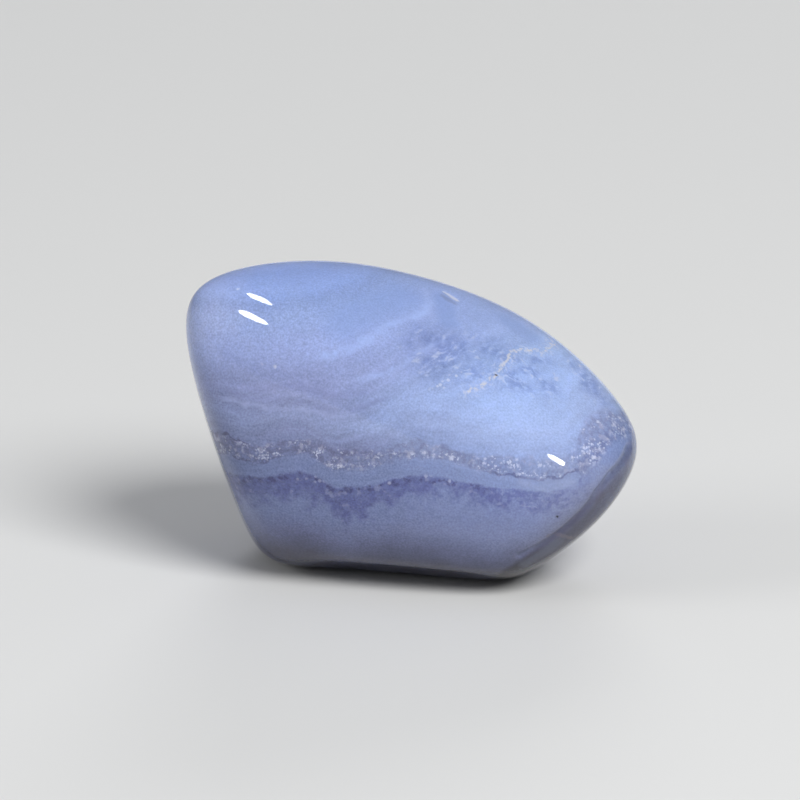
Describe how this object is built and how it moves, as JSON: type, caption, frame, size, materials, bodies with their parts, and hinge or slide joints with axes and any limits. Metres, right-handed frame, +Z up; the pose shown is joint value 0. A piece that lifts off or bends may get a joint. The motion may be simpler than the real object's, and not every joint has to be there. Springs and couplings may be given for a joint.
{
  "type": "tumbled chalcedony stone",
  "caption": "Tumbled stone of banded pale blue chalcedony, a worn block with one pointed end and a long flake scar under it, resting on its underside.",
  "frame": {"origin": "middle of the stone's outline seen from above, on the ground it rests on", "axes": "+X towards the pointed end, -Y out of the broad front, +Z up"},
  "size_m": [0.03, 0.0172, 0.0213],
  "materials": {
    "chalcedony": "polished, slightly translucent, pale blue with wavy grey, lilac and violet bands"
  },
  "bodies": {
    "root": {"chalcedony_stone": "chalcedony"}
  },
  "joints": []
}
